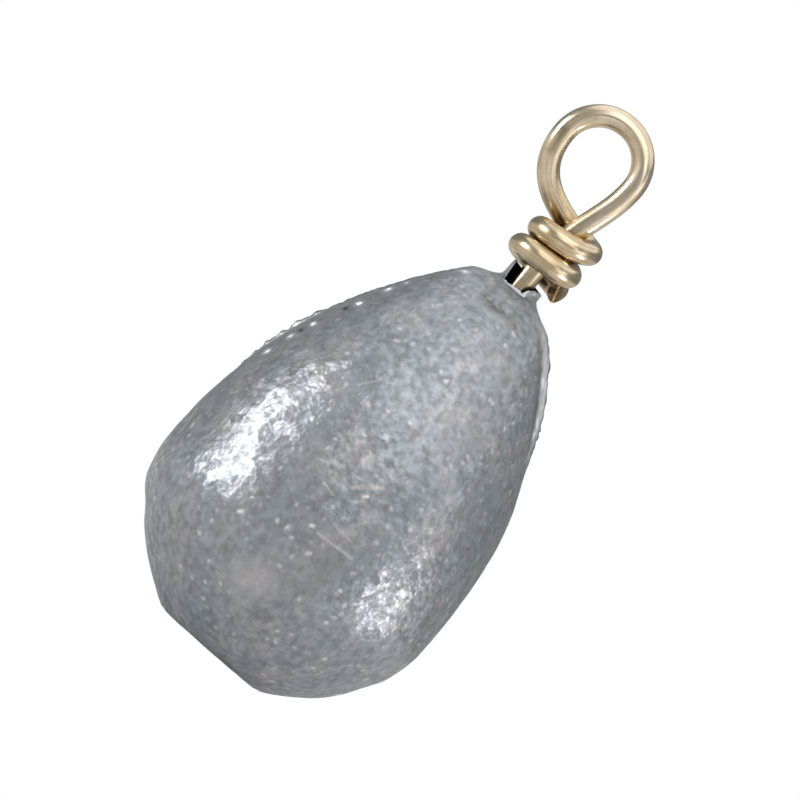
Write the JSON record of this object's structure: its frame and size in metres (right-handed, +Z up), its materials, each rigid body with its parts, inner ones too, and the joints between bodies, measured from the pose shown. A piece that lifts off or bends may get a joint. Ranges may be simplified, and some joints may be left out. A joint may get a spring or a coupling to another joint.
{
  "type": "fishing sinker",
  "caption": "Pear-shaped cast lead fishing sinker with a flat base, a thin collar and a wrapped brass wire eye that swivels.",
  "frame": {"origin": "centre of the flat base, the lowest face", "axes": "+Z up the swivel axis from the base to the eye; the round of the eye stands off towards -X; -Y is the front, where the collar's rim is broken away"},
  "size_m": [0.0151, 0.015, 0.0308],
  "materials": {
    "cast_lead": "satin",
    "brass_wire": "satin"
  },
  "bodies": {
    "body": {"lead_body": "cast_lead"},
    "eye": {"wire_eye": "brass_wire"}
  },
  "joints": [
    {"name": "eye_swivel", "type": "hinge", "parent": "body", "child": "eye", "pos_m": [0, 0, 0.0223], "axis": [0, 0, 1], "continuous": true}
  ]
}
